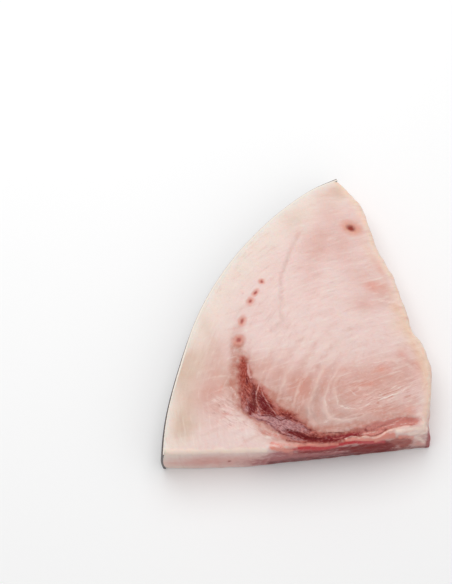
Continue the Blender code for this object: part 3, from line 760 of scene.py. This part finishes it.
# Thin things are lines: (half width, strength, points).
THIN = {
    # Painted shade: a dark line along the front wall's foot, where it meets the floor.
    "painted_foot_shade": [
        (1.3, 0.9, [
            (-16, -86.4), (-8, -85.2), (0, -84.3), (8, -83.4), (16, -82.5), (24, -81.4), (32, -80.7),
        ]),
        (1.0, 0.7, [(32, -80.7), (40, -79.8), (48, -79), (56, -78.2), (62, -77.6), (69, -76.8)]),
    ],
    "dark_line": [
        (0.5, 0.7, [(-28, -37), (-27.7, -40), (-27.9, -42)]),
        (0.6, 0.6, [(-22.5, -61), (-19.5, -62.3), (-16.5, -63.2), (-14.5, -65), (-12.5, -67), (-9.5, -69)]),
        (0.8, 0.8, [(-6.5, -67.5), (-0.5, -69), (4.5, -70.7), (10, -71.5)]),
        (0.7, 0.45, [(10, -71.5), (14.5, -72), (19.5, -72), (25, -70.7)]),
        (0.5, 0.8, [(-10.5, -69.3), (-7, -70.6), (-3.5, -71.2)]),
        (0.5, 0.4, [(-4, -72), (1.5, -72.9), (7.5, -73.9), (14.5, -74.3), (21.5, -73.4), (25.5, -72)]),
        (0.5, 0.8, [(-19.5, -59.5), (-13.5, -59.9), (-9.5, -62), (-5.5, -61), (-0.5, -62.5)]),
        (0.45, 0.7, [(-10, -59), (-5, -59.3), (-1, -59.2)]),
        (0.45, 0.6, [(15, -69), (20, -69), (25, -68.6)]),
        (0.6, 0.6, [(-6, -73.1), (-1, -74.4), (4, -74.8)]),
        (0.5, 0.5, [(27.5, -70.9), (31, -70.6), (34, -71)]),
        (0.5, 0.5, [(42, -70.5), (46, -68.8), (48, -67.4)]),
        (0.9, 0.3, [(33, -69), (38, -67.8), (43, -66.2), (48, -64.4)]),
    ],
    "white_line": [
        (0.4, 1.0, [(-21, -40.5), (-21.8, -44), (-22.7, -47.5)]),
        (0.35, 0.7, [(-22.7, -47.5), (-22.4, -51.5), (-21.3, -54.5), (-21.8, -57)]),
        (0.4, 0.7, [(-20.6, -42), (-19.5, -46.5), (-18, -49.5), (-16, -53), (-13.5, -56.5), (-11.8, -58.7)]),
        (0.45, 0.7, [(-28, -49.5), (-28.5, -51.5), (-29.3, -53.5)]),
        (0.5, 0.5, [(-30.5, -46.5), (-31.5, -50.5), (-31, -54.5)]),
        (0.9, 0.6, [(-24.5, -58.5), (-20.5, -60.5), (-17.5, -61)]),
        (0.5, 0.8, [(-26.9, -30), (-26.9, -34)]),
        (0.8, 1.3, [(-27, -34), (-26.7, -36), (-25.6, -37.6)]),
    ],
    # Pale strands; the wisps left of the red muscle, x below -19, are painted wet sheen.
    "pale_wisp": [
        (0.7, 0.5, [(-43, -56), (-38, -57), (-32, -58.3)]),
        (0.7, 0.7, [(-46, -50), (-41, -53.5), (-34.5, -55.8)]),
        (0.6, 0.7, [(-37, -43), (-34.8, -46), (-33, -49.5)]),
        (0.6, 0.6, [(-40, -46), (-37, -50), (-33.5, -53)]),
        (0.7, 0.6, [(-48, -60), (-42, -62), (-36, -61.5), (-29, -62)]),
        (0.7, 0.5, [(-44, -68), (-36, -67), (-27, -66)]),
        (0.5, 0.6, [(-25, -64.5), (-22, -67.5), (-19, -71)]),
        (1.1, 0.7, [(47, 6.8), (52, 6.5), (56, 6), (58.5, 4.5)]),
        (0.45, 0.5, [(52, -63.3), (55.5, -61.9), (58, -59.9)]),
        (0.5, 0.55, [(56, -64.2), (60, -63.4), (64, -63.2)]),
        (0.4, 0.6, [(46, -65.8), (50, -64.6), (53, -63.9)]),
        (0.5, 0.6, [(34, -69.8), (39, -68.8), (43, -68.3)]),
    ],
    "pink_line": [
        (0.8, 0.55, [(-41, -58.5), (-36, -59.5), (-31, -60)]),
        (1.0, 0.6, [(-15, -75.3), (-10, -76), (-6, -76), (-2, -76.2)]),
        (1.2, 0.5, [(-5, -81.5), (-1, -81.3), (4, -81.2)]),
        (0.8, 0.5, [(-44, -52), (-39, -55), (-34, -57)]),
        (0.9, 0.5, [(-37, -40), (-35.5, -43), (-34.5, -45)]),
        (0.6, 0.8, [(-24.5, -63), (-20.5, -66), (-17.5, -68.5), (-12, -70.7)]),
        (0.5, 0.5, [(-19.5, -64.5), (-16, -66.8), (-13, -69.3), (-9, -71.7), (-4, -73)]),
        (0.8, 0.6, [(-22, -67.5), (-18, -70), (-13, -72)]),
        (0.5, 0.6, [(-31.5, -24), (-31.2, -27), (-31.5, -30)]),
        (1.0, 0.7, [(-19.5, -68.7), (-15.5, -70.8), (-11, -72.3)]),
        (0.8, 0.9, [(35.5, -69.9), (38.5, -70.2), (41.5, -69.5)]),
        (0.8, 0.5, [(9.5, -69.6), (13, -70), (18, -70.1), (22, -69.7)]),
        (0.5, 0.5, [(19, -71.9), (22, -71.7), (25, -71)]),
        (0.6, 0.8, [(33, -69.3), (38, -68.5), (44, -67.3), (47, -66)]),
        (0.5, 0.7, [(30, -66.3), (36, -65), (42, -63), (47, -61.3), (52, -60)]),
        (0.6, 0.7, [(52, -61.8), (58, -61.1), (65, -60.7)]),
        (0.9, 0.7, [(55, -62.6), (58, -62.4), (61, -62.8)]),
    ],
    "lip_red": [
        (1.2, 0.8, [(-7, -79.2), (-3, -78.6), (2.5, -77.9)]),
        (1.6, 1.0, [(0, -77.9), (7.5, -77.7), (12, -77.8), (16, -77.2), (20, -76.5)]),
        (1.2, 1.0, [(20, -76.3), (24.5, -75.2), (30, -74.5), (36, -74.6), (42, -74.4), (46, -74.3)]),
    ],
    # Salmon tissue along the lip; the short line from x 9 to 16 is a painted highlight.
    "lip_salmon": [
        (0.7, 1.0, [(-14.5, -75), (-11.5, -76.1), (-7, -78)]),
        (0.6, 0.5, [(-11, -74.8), (-7, -75.9), (-3, -77.3)]),
        (1.5, 0.9, [(-15, -77.8), (-10, -78.6), (-4, -79.3)]),
        (0.8, 0.8, [(-5, -77.2), (0, -76.7), (5, -76.3), (12, -76.2), (17, -75.8), (21, -75.4)]),
        (0.8, 1.0, [(25.5, -73.4), (30, -72.9), (36, -73.2), (42, -73)]),
        (1.6, 1.3, [(42, -73), (45, -72), (48.5, -71.2), (51.5, -70.9)]),
        (0.5, 0.9, [(9, -76.8), (12, -76.9), (16, -76.3)]),
        (0.8, 0.6, [(57, -68.9), (60, -68.5), (63, -67.4)]),
        (1.2, 0.8, [(54.5, -71.7), (58, -71.4), (62, -71.8)]),
    ],
    # Painted highlight: pale lines along the lip's wet crest.
    "lip_painted_highlight": [
        (0.5, 0.8, [(25, -72.8), (26.5, -71.9), (29.5, -71.4), (32.5, -72.2), (35, -71.5), (39.5, -72.1)]),
        (0.7, 0.9, [(39.5, -72.2), (42.5, -71.8), (45.5, -70.5), (48.5, -68.6), (51.5, -67.6)]),
        (0.9, 0.7, [(51.5, -67.6), (56, -66.3), (60, -65.6)]),
        (0.6, 0.6, [(-9, -77.4), (-5.5, -77), (-1, -76.9)]),
    ],
    # Painted light: paler rims where the upper face rounds over into the walls and turns away from the
    # light.
    "painted_rim_light": [
        (1.5, 0.9, [(54, -68.3), (60, -67.5), (66, -66.8), (71, -66)]),
        (1.2, 0.8, [(60, -69.7), (64, -69.8), (68.5, -69)]),
        (1.3, 0.7, [(63.5, -72), (66, -72.6), (67.5, -74)]),
        (0.6, 0.4, [(54.5, -69.6), (53.5, -70.6), (53, -71.5)]),
        (1.6, 1.2, [(-76, -79.7), (-50, -79.3), (-30, -78.9), (-18, -78.7)]),
    ],
}

CREAM_WIDTH, FAT_WIDTH, MEDIAL_RIM_WIDTH = 24, 2.6, 3.4  # how far these bands reach in, mm


def painted_masks(points):
    """Every mask of the cut faces, by name."""
    plan = laid_flat(points)
    masks = {name: soft_spots(plan, spots) for name, spots in (PALE | RED).items()}
    masks |= {name: soft_lines(plan, lines) for name, lines in THIN.items()}
    masks["ring"], masks["ring_gap"] = ring_number(plan)
    depth = flank_depth(points)
    masks["cream"] = np.clip(1.1 - depth / CREAM_WIDTH, 0, 1)
    masks["fat_rim"] = bump(depth - SKIN_THICKNESS, FAT_WIDTH)
    near = bump(measure(MEDIAL_LINE, points)[0], MEDIAL_RIM_WIDTH)
    high = np.clip(points[:, 2] / 6 - 2.8, 0, 1)
    masks["medial_rim"], masks["medial_wall"] = near * high, near * (1 - high)
    gap = measure(STAIN_RING, plan)[0]
    masks["red"] = np.where(inside(STAIN_RING, plan), gap, -gap)
    gap, masks["along"], side = measure(BLOOD_SPINE, plan)
    masks["across"] = gap * side
    masks["fray"] = 0.8 + soft_spots(plan, FRAY)
    gap, _, side = measure(SEAM_LINE, plan)
    masks["seam"] = gap * side + np.clip(plan[:, 1] / 12 - 1, 0, 1.4)
    gap, _, side = measure(FRONT_LINE, points)
    down = np.clip(2 - gap * side, 0, 1) * np.clip(3 - points[:, 2] / 8, 0, 1)
    masks["front_wall"] = down * between([(-25, 0.2), (0, 1)], points[:, 0])
    return masks


def store(piece, masks):
    """Keep each mask as one number at every vertex of the piece."""
    for name, values in masks.items():
        layer = piece.data.attributes.new(name, "FLOAT", "POINT")
        layer.data.foreach_set("value", np.asarray(values, np.float32))


def vertex_places(piece):
    places = np.empty(len(piece.data.vertices) * 3)
    piece.data.vertices.foreach_get("co", places)
    return places.reshape(-1, 3) / MM


for piece in (flesh, red_muscle):
    masks = painted_masks(vertex_places(piece))
    store(piece, masks)
MASK_NAMES = list(masks)

# The dark pigment's depth at the skin's cut edge, in mm: stops of (degrees round the side, depth).
# From 125 to 157 degrees the faint dark line it draws is painted shadow along the edge.
places = vertex_places(skin)
skin_angle = np.degrees(np.arctan2(places[:, 1] - FLANK_CENTRE[1], places[:, 0] - FLANK_CENTRE[0]))
DARK_EDGE = [
    (119.4, 0.55), (121, 0.4), (125, 0.15), (157, 0.12), (163, 0.4), (170, 0.6), (175, 0.7), (180, 0.8),
]
store(skin, {"under_skin": flank_depth(places), "dark_edge": between(DARK_EDGE, skin_angle % 360)})
print("masks on the flesh:", ", ".join(MASK_NAMES))

# %% [markdown]
# ## Nodes by the line
#
# A node graph is easier to read in code if every node takes one line. One function adds a node, sets it,
# and fills its inputs with numbers, colours or links. Colours are given as hex values, as a picture
# editor shows them, and turned to the linear values that the renderer works in. Painting then needs one
# more step again and again: mixing a tint in where some value is high. That takes two or three nodes, so
# it has a function too.

# %% The helpers that add nodes


def linear(colour):
    """Turn an sRGB hex value to linear red, green, blue and alpha."""
    channels = [int(colour[i : i + 2], 16) / 255 for i in (1, 3, 5)]
    return (*(c / 12.92 if c <= 0.04045 else ((c + 0.055) / 1.055) ** 2.4 for c in channels), 1)


def fill(tree, node, inputs):
    """Fill a node's inputs, by place or by name: with a number, a hex colour, or what to link."""
    open_sockets = [socket for socket in node.inputs if socket.enabled]
    for key, value in inputs.items() if isinstance(inputs, dict) else enumerate(inputs):
        by_name = (socket for socket in open_sockets if socket.name == key)
        socket = open_sockets[key] if isinstance(key, int) else next(by_name)
        if isinstance(value, bpy.types.Node):
            value = next(out for out in value.outputs if out.enabled)
        if isinstance(value, bpy.types.NodeSocket):
            tree.links.new(value, socket)
        else:
            socket.default_value = linear(value) if isinstance(value, str) else value


def add(tree, kind, inputs=(), **settings):
    """Add a node with its settings, and fill its inputs."""
    node = tree.nodes.new("ShaderNode" + kind)
    for name, value in settings.items():
        setattr(node, name, value)
    fill(tree, node, inputs)
    return node


def tinge(tree, colour, tint, value, start, full, most=1.0, where=None, ease="SMOOTHSTEP"):
    """Mix a tint into a colour, more and more as a value goes from its start to full."""
    share = add(tree, "MapRange", [value, start, full, 0, most], interpolation_type=ease)
    if where is not None:
        share = add(tree, "Math", [share, where], operation="MULTIPLY", use_clamp=True)
    return add(tree, "Mix", [share, colour, tint], data_type="RGBA")


def new_material(name):
    """A new material, its node tree and its shader."""
    material = bpy.data.materials.new(name)
    material.use_nodes = True
    return material, material.node_tree, material.node_tree.nodes["Principled BSDF"]


# %% [markdown]
# ## Raw white muscle and raw red muscle
#
# Raw fish is wet and slightly clear: light goes in a millimetre or two, comes out softened and warmer,
# and a thin film of moisture gives small soft highlights. So the material is a Principled shader with
# subsurface light, an index of refraction near water's, and medium roughness.
#
# One graph colours both muscles, because they grow into each other: the red one bleeds into the white
# one, and pale sheets run from one to the other. Each piece still has its own material, made from it.

# %% The cut face's colours, wash by wash
# Each wash is (mask, colour, where it starts, where it is full, grain in mm, how far the grain frays it).
PALE_WASHES = [
    ("cream", "#ECDBD1", 0.0, 1.0, 8, 0.12),
    ("fat_rim", "#EFE3DB", 0.1, 1.3, 3, 0.25),
    ("tan", "#D3B6A2", 0.0, 1.0, 8, 0.15),
    ("straw", "#E9C9B1", 0.0, 1.0, 5, 0.25),
    ("blush", "#D39E91", 0.0, 1.2, 8, 0.15),
    ("beige", "#C8A49A", 0.0, 1.0, 5, 0.2),
    ("salmon", "#DB9280", 0.0, 1.3, 5, 0.25),
    ("haze", "#BE8070", 0.0, 1.3, 3, 0.3),
    ("medial_rim", "#EDD2BF", 0.0, 1.3, 3, 0.3),
    ("medial_wall", "#DDAFA2", 0.0, 1.2, 8, 0.45),
]
RED_WASHES = [
    ("rust", "#AA4E3F", 0.0, 0.9, 1.2, 0.4),
    ("umber", "#76302A", 0.0, 0.9, 1.2, 0.4),
    ("crimson", "#8E2C33", 0.1, 1.0, 1.2, 0.4),
    # the mauve wash is a painted sheen
    ("mauve", "#BE8C8C", 0.1, 1.0, 2, 0.6),
    ("maroon", "#761D1F", 0.1, 0.9, 1.2, 0.4),
]
OVER_WASHES = [
    ("coral", "#C9857C", 0.15, 1.0, 2, 0.5),
    ("wall_pink", "#D99F96", 0.0, 1.3, 5, 0.25),
    # mauve where the red muscle lies behind the wall, and painted shade low on its left half
    ("wall_mauve_and_shade", "#AE6C6D", 0.0, 1.3, 3, 0.45),
    # dark red where the red muscle lies behind the wall, and painted shade under the lip
    ("wall_dark_and_lip_shade", "#82201F", 0.0, 1.3, 3, 0.45),
    ("wall_brown", "#AA5F57", 0.0, 1.2, 3, 0.35),
    # painted shade along the front wall's foot
    ("painted_foot_shade", "#743E3F", 0.0, 1.2, 3, 0.35),
    ("lip_red", "#C4474A", 0.1, 0.95, 2, 0.35),
    ("dark_line", "#66181A", 0.1, 1.0, 1.2, 0.5),
    ("pink_line", "#D28A7E", 0.1, 1.2, 2, 0.6),
    # salmon tissue along the lip, and at x 9 to 16 a painted highlight
    ("lip_salmon", "#E2988A", 0.1, 1.0, 2, 0.35),
    ("white_line", "#D29C95", 0.15, 1.0, 2, 0.6),
    # pale strands, and painted wet sheen left of the red muscle
    ("pale_wisp", "#F1DAD0", 0.1, 1.3, 1.2, 0.6),
    # painted light on rims that turn away from the light
    ("painted_rim_light", "#FAE3D6", 0.1, 1.1, 3, 0.3),
    # painted highlight on the lip's crest
    ("lip_painted_highlight", "#EFCCBF", 0.15, 1.0, 2, 0.3),
]
BASE_COLOUR = "#E9CFC9"
GRAIN_SIZES = (1.2, 2, 3, 5, 8)  # mm
SHEET_SHIFT = 0.42  # with what the grain adds, this sets the sheets a little inside the drawn rings
VESSEL_TINTS = [([ARTERY], "#DDA08D", "#964036"), (VESSELS, "#DC9C8E", "#B4645C")]


def cut_muscle(name, clear):
    """The sawn face of raw swordfish: pale muscle in rings, with red muscle through it."""
    material, tree, shader = new_material(name)
    put, tint_in = partial(add, tree), partial(tinge, tree)
    place = put("TexCoord").outputs["Object"]
    mask = {key: put("Attribute", attribute_name=key).outputs["Fac"] for key in MASK_NAMES}
    grain = {}
    for size in GRAIN_SIZES:
        grain[size] = put("TexNoise", {"Vector": place, "Scale": 1 / (size * MM), "Detail": 3.0})

    def wash(colour, key, tint, start, full, size, fray):
        """Lay a tint over a colour where its mask is high, frayed by grain."""
        frayed = put("Math", [grain[size], 4 * fray, 1 - 2 * fray], operation="MULTIPLY_ADD")
        frayed = put("Math", [frayed, mask[key]], operation="MULTIPLY")
        return tint_in(colour, tint, frayed, start, full)

    def drawn_out(turn, size, detail=3.0, roughness=0.5, distortion=1.0):
        """Grain drawn out along one direction in plan: the size is (long, short, upright) in mm."""
        at = {"Vector": place, "Rotation": (0, 0, math.radians(turn)), "Scale": [side * MM for side in size]}
        at = {"Vector": put("Mapping", at, vector_type="TEXTURE"), "Scale": 1.0, "Detail": detail}
        return put("TexNoise", {**at, "Roughness": roughness, "Distortion": distortion})

    def along_crescent(along, across, **look):
        """Grain that follows the red muscle: how many lumps fit in a millimetre along it and across it."""
        rates = [(mask["along"], along), (mask["across"], across)]
        at = put("CombineXYZ", [put("Math", [run, rate], operation="MULTIPLY") for run, rate in rates])
        return put("TexNoise", {"Vector": at, "Scale": 1.0, **look})

    def sheet_lines(number, start, end):
        """A soft line near each whole number, fading from start to end in millimetres."""
        whole = put("Math", [number, SHEET_SHIFT], operation="ADD")
        whole = put("Math", [put("Math", [whole], operation="FRACT"), 0.5], operation="SUBTRACT")
        whole = put("Math", [whole], operation="ABSOLUTE")
        away = put("Math", [whole, mask["ring_gap"]], operation="MULTIPLY")
        return whole, put("MapRange", [away, start, end, 1, 0], interpolation_type="SMOOTHSTEP")

    def streaks(colour, fine, where, deep_tint, light_tint, most):
        """Darken a colour in a grain's troughs and lighten it on its crests, where a mask allows."""
        colour = tint_in(colour, deep_tint, fine, 0.48, 0.3, most, where)
        return tint_in(colour, light_tint, fine, 0.52, 0.72, most, where)

    # Fibres: grain drawn out round the rings. Its vector is the way round, with the ring number upright.
    way = put("VectorMath", [place, (*RING_CENTRE * MM, 0)], operation="SUBTRACT")
    way = put("VectorMath", [way, (1, 1, 0)], operation="MULTIPLY")
    way = put("VectorMath", [way], operation="NORMALIZE")
    upright = put("CombineXYZ", {"Z": put("Math", [mask["ring"], 5.0], operation="MULTIPLY")})
    way = put("VectorMath", [way, (9, 9, 0), upright], operation="MULTIPLY_ADD")
    fibre = put("TexNoise", {"Vector": way, "Scale": 1.0, "Detail": 4.0, "Roughness": 0.62})
    wisp = drawn_out(18, (14, 2.6, 8), 5.0, 0.6, 0.5)

    # Sheets between the rings: soft ones seen aslant on the left, crisp crinkled ones in the rings' heart.
    wander = put("Math", [grain[5], 0.5, mask["ring"]], operation="MULTIPLY_ADD")
    patchy = put("Math", [grain[5], 2.4, -0.5], operation="MULTIPLY_ADD", use_clamp=True)
    soft_show = put("Math", [mask["ring_soft"], patchy], operation="MULTIPLY")
    crisp_show = put("Math", [mask["ring_crisp"], patchy], operation="MULTIPLY")
    whole, soft_sheet = sheet_lines(wander, 0.0, 1.8)
    soft_sheet = put("Math", [soft_sheet, soft_show], operation="MULTIPLY", use_clamp=True)
    number = put("Math", [grain[1.2], 0.14, wander], operation="MULTIPLY_ADD")
    crisp_sheet = sheet_lines(number, 0.1, 0.7)[1]
    crisp_sheet = put("Math", [crisp_sheet, crisp_show], operation="MULTIPLY", use_clamp=True)

    # Pale muscle: its washes, the shade between the sheets, the fibres, and the sheets over all.
    colour = put("RGB")
    colour.outputs[0].default_value = linear(BASE_COLOUR)
    for row in PALE_WASHES:
        colour = wash(colour, *row)
    colour = tint_in(colour, "#CB9384", whole, 0.1, 0.5, 0.7, soft_show)
    lean = put("Math", [1.0, mask["cream"]], operation="SUBTRACT", use_clamp=True)
    colour = tint_in(colour, "#F1E3DB", wisp, 0.5, 0.75, 0.4, lean)
    colour = tint_in(colour, "#D0A094", wisp, 0.48, 0.28, 0.25, lean)
    colour = tint_in(colour, "#F3E6DE", fibre, 0.52, 0.78, 0.35)
    colour = tint_in(colour, "#CC9A8D", fibre, 0.48, 0.25, 0.25)
    colour = streaks(colour, drawn_out(22, (7, 1.1, 5)), mask["crinkle"], "#C98D7F", "#F0DCD2", 0.6)
    colour = streaks(colour, drawn_out(-30, (5, 1.0, 5)), mask["crinkle_left"], "#C08A80", "#F3E0DA", 0.6)
    colour = put("Mix", [soft_sheet, colour, "#E6C9BE"], data_type="RGBA")
    colour = put("Mix", [crisp_sheet, colour, "#F1E1D8"], data_type="RGBA")

    # Seam: a faint brown line between two muscles.
    seam = put("Math", [grain[3], 3.0, mask["seam"]], operation="MULTIPLY_ADD")
    seam = put("Math", [put("Math", [seam, 1.5], operation="SUBTRACT")], operation="ABSOLUTE")
    colour = tint_in(colour, "#BE8577", seam, 2.2, 0.0, 0.34, grain[5])

    # Red muscle: streaks and finer flecks run along the crescent.
    streak = along_crescent(0.16, 0.8, Detail=5.0, Roughness=0.66)
    fleck = along_crescent(0.6, 1.5, Detail=3.0)
    red = tint_in("#7E2C27", "#C26D60", streak, 0.38, 0.62, ease="LINEAR")
    for row in RED_WASHES:
        red = wash(red, *row)
    red = tint_in(red, "#681618", fleck, 0.54, 0.38, 0.5, ease="LINEAR")
    # Pale flecks along the crescent: a painted wet highlight.
    red = tint_in(red, "#D6A09A", fleck, 0.54, 0.68, 0.3, ease="LINEAR")

    # Strands across its edge fray it into the pale muscle, and a halo of stain runs ahead of it.
    strand = along_crescent(0.5, 0.16, Detail=1.5, Roughness=0.6, Distortion=0.6)
    edge = put("Math", [strand, 0.5], operation="SUBTRACT")
    edge = put("Math", [edge, mask["fray"], mask["red"]], operation="MULTIPLY_ADD")
    edge = put("Math", [grain[3], 4.0, edge], operation="MULTIPLY_ADD")
    colour = tint_in(colour, "#C69082", edge, -3.5, 4.0, 0.85)
    colour = tint_in(colour, "#BC7060", edge, -0.4, 3.2, 0.75)
    colour = tint_in(colour, red, edge, 0.8, 4.0)
    for row in OVER_WASHES:
        colour = wash(colour, *row)
    colour = streaks(colour, drawn_out(0, (6, 6, 2)), mask["front_wall"], "#6A3433", "#AE7771", 0.4)

    # Vessels go straight through the slice: small dark mouths, each in a warm stain.
    warp = put("VectorMath", [grain[3].outputs["Color"], (0.5, 0.5, 0)], operation="SUBTRACT")
    warp = put("VectorMath", [warp, (1.6 * MM, 1.6 * MM, 0), place], operation="MULTIPLY_ADD")
    for vessels, stain, mouth in VESSEL_TINTS:
        nearest = 9.0
        for x, y, long, short, turn in vessels:
            at = {"Vector": warp, "Location": (x * MM, y * MM, 0), "Rotation": (0, 0, math.radians(turn))}
            at = put("Mapping", {**at, "Scale": (long * MM, short * MM, 1000)}, vector_type="TEXTURE")
            away = put("VectorMath", [at], operation="LENGTH")
            nearest = put("Math", [nearest, away], operation="MINIMUM")
        colour = tint_in(colour, stain, nearest, 2.6, 0.9, 0.8)
        colour = tint_in(colour, mouth, nearest, 1.2, 0.2)

    # Wet gloss, and a skin of fine fibres that breaks it up.
    height = grain[1.2]
    for part, share in [(wisp, 1.0), (fibre, 0.5), (crisp_sheet, 0.5), (streak, 0.8)]:
        height = put("Math", [part, share, height], operation="MULTIPLY_ADD")
    fill(tree, shader, {
        "Base Color": colour,
        "Roughness": put("MapRange", [grain[5], 0.3, 0.7, 0.5, 0.34]),
        "Normal": put("Bump", {"Strength": 0.6, "Distance": 0.25 * MM, "Height": height}),
        "IOR": 1.38,
        "Subsurface Weight": 0.5,
        "Subsurface Radius": (1.0, 0.45, 0.32),
        "Subsurface Scale": clear * MM,
        "Specular IOR Level": 0.15,
    })
    print(name, "has", len(tree.nodes), "nodes")
    return material


# %% [markdown]
# ## Fish skin
#
# An adult swordfish has no scales. Its skin is a tough grey-brown hide about a millimetre thick: on the
# cut edge it is pale, like gristle, with the dark pigment only in a thin outer layer. A ramp over the
# depth under the hide's outer face draws both, and a fine noise roughens the line between them.

# %% The skin's material


def fish_hide(name):
    """Bare wet hide: dark and mottled outside, pale gristle where the saw crossed it."""
    material, tree, shader = new_material(name)
    put, tint_in = partial(add, tree), partial(tinge, tree)
    place = put("TexCoord").outputs["Object"]
    mottle = put("TexNoise", {"Vector": place, "Scale": 1 / (9 * MM), "Detail": 5.0})
    pores = put("TexNoise", {"Vector": place, "Scale": 1 / (0.8 * MM), "Detail": 3.0})
    dark = put("Mix", [mottle, "#2E2627", "#655756"], data_type="RGBA")
    dark = tint_in(dark, "#83766F", pores, 0.55, 0.75, 0.35, ease="LINEAR")
    depth = put("Attribute", attribute_name="under_skin").outputs["Fac"]
    dark_edge = put("Attribute", attribute_name="dark_edge").outputs["Fac"]
    frayed = put("Math", [depth, dark_edge], operation="SUBTRACT")
    frayed = put("Math", [pores, 0.4, frayed], operation="MULTIPLY_ADD")
    pale = put("MapRange", [frayed, 0.0, 0.3, 0, 1], interpolation_type="SMOOTHSTEP")
    up = put("SeparateXYZ", [put("NewGeometry").outputs["Normal"]]).outputs["Z"]
    up = put("Math", [up], operation="ABSOLUTE")
    height = put("Math", [mottle, 1.5, pores], operation="MULTIPLY_ADD")
    fill(tree, shader, {
        "Base Color": tint_in(dark, "#E9DDD1", up, 0.2, 0.5, 1.0, pale),
        "Normal": put("Bump", {"Strength": 0.5, "Distance": 0.2 * MM, "Height": height}),
        "Roughness": 0.4,
        "IOR": 1.4,
        "Coat Weight": 0.2,
        "Coat Roughness": 0.25,
    })
    return material


# %% [markdown]
# ## Dress the frame
#
# Every piece rides on the one body, stands for its solid, and takes its material.

# %% Hand the pieces over
finishes = [
    (flesh, "flesh", cut_muscle("raw_white_muscle", 1.2)),
    (red_muscle, "bloodline", cut_muscle("raw_red_muscle", 0.5)),
    (skin, "skin", fish_hide("raw_fish_skin")),
]
for piece, node, material in finishes:
    piece.data.materials.clear()  # the Boolean leaves an empty slot behind
    piece.data.materials.append(material)
    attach(piece, "root")
    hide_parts(node)

# %% [markdown]
# ## Floor and light
#
# The steak lies on plain white paper, under one large soft light from above and behind, as in a light
# tent. The sky is pale, so that shadows stay open.

# %% The floor and the lights
grid = bmesh.new()
bmesh.ops.create_grid(grid, x_segments=2, y_segments=2, size=3000)
floor = as_piece("paper_floor", grid)
paper, tree, shader = new_material("white_paper")
fill(tree, shader, {"Base Color": "#FAFAFA", "Roughness": 0.8})
floor.data.materials.append(paper)

scene = bpy.context.scene
scene.view_settings.view_transform = "Standard"
world = bpy.data.worlds.new("pale_room")
scene.world = world
world.use_nodes = True
fill(world.node_tree, world.node_tree.nodes["Background"], {"Color": "#FFFFFF", "Strength": 0.58})


def softbox(name, place, size, watts):
    """A square area light that points at the steak's middle. Its place is in metres."""
    data = bpy.data.lights.new(name, "AREA")
    data.shape, data.size, data.energy = "SQUARE", size, watts
    light = bpy.data.objects.new(name, data)
    light.location = place
    light.rotation_euler = (-light.location).to_track_quat("-Z", "Y").to_euler()
    scene.collection.objects.link(light)


softbox("softbox_above", (-0.1, 0.35, 0.8), 0.9, 4.8)

# %% [markdown]
# ## Camera
#
# The view looks down at 70 degrees from the front, through a long lens, so the upright front side shows
# as a narrow band.

# %% The camera
ELEVATION = math.radians(70)
DISTANCE = 0.7998  # m
TARGET = Vector((-39.14, 20.86, 0)) * MM
back = Vector((0, -math.cos(ELEVATION), math.sin(ELEVATION)))
camera_data = bpy.data.cameras.new("camera")
camera_data.lens, camera_data.sensor_width = 85, 36  # mm
camera = bpy.data.objects.new("camera", camera_data)
camera.location = TARGET + back * DISTANCE
camera.rotation_euler = (-back).to_track_quat("-Z", "Y").to_euler()
scene.collection.objects.link(camera)
scene.camera = camera
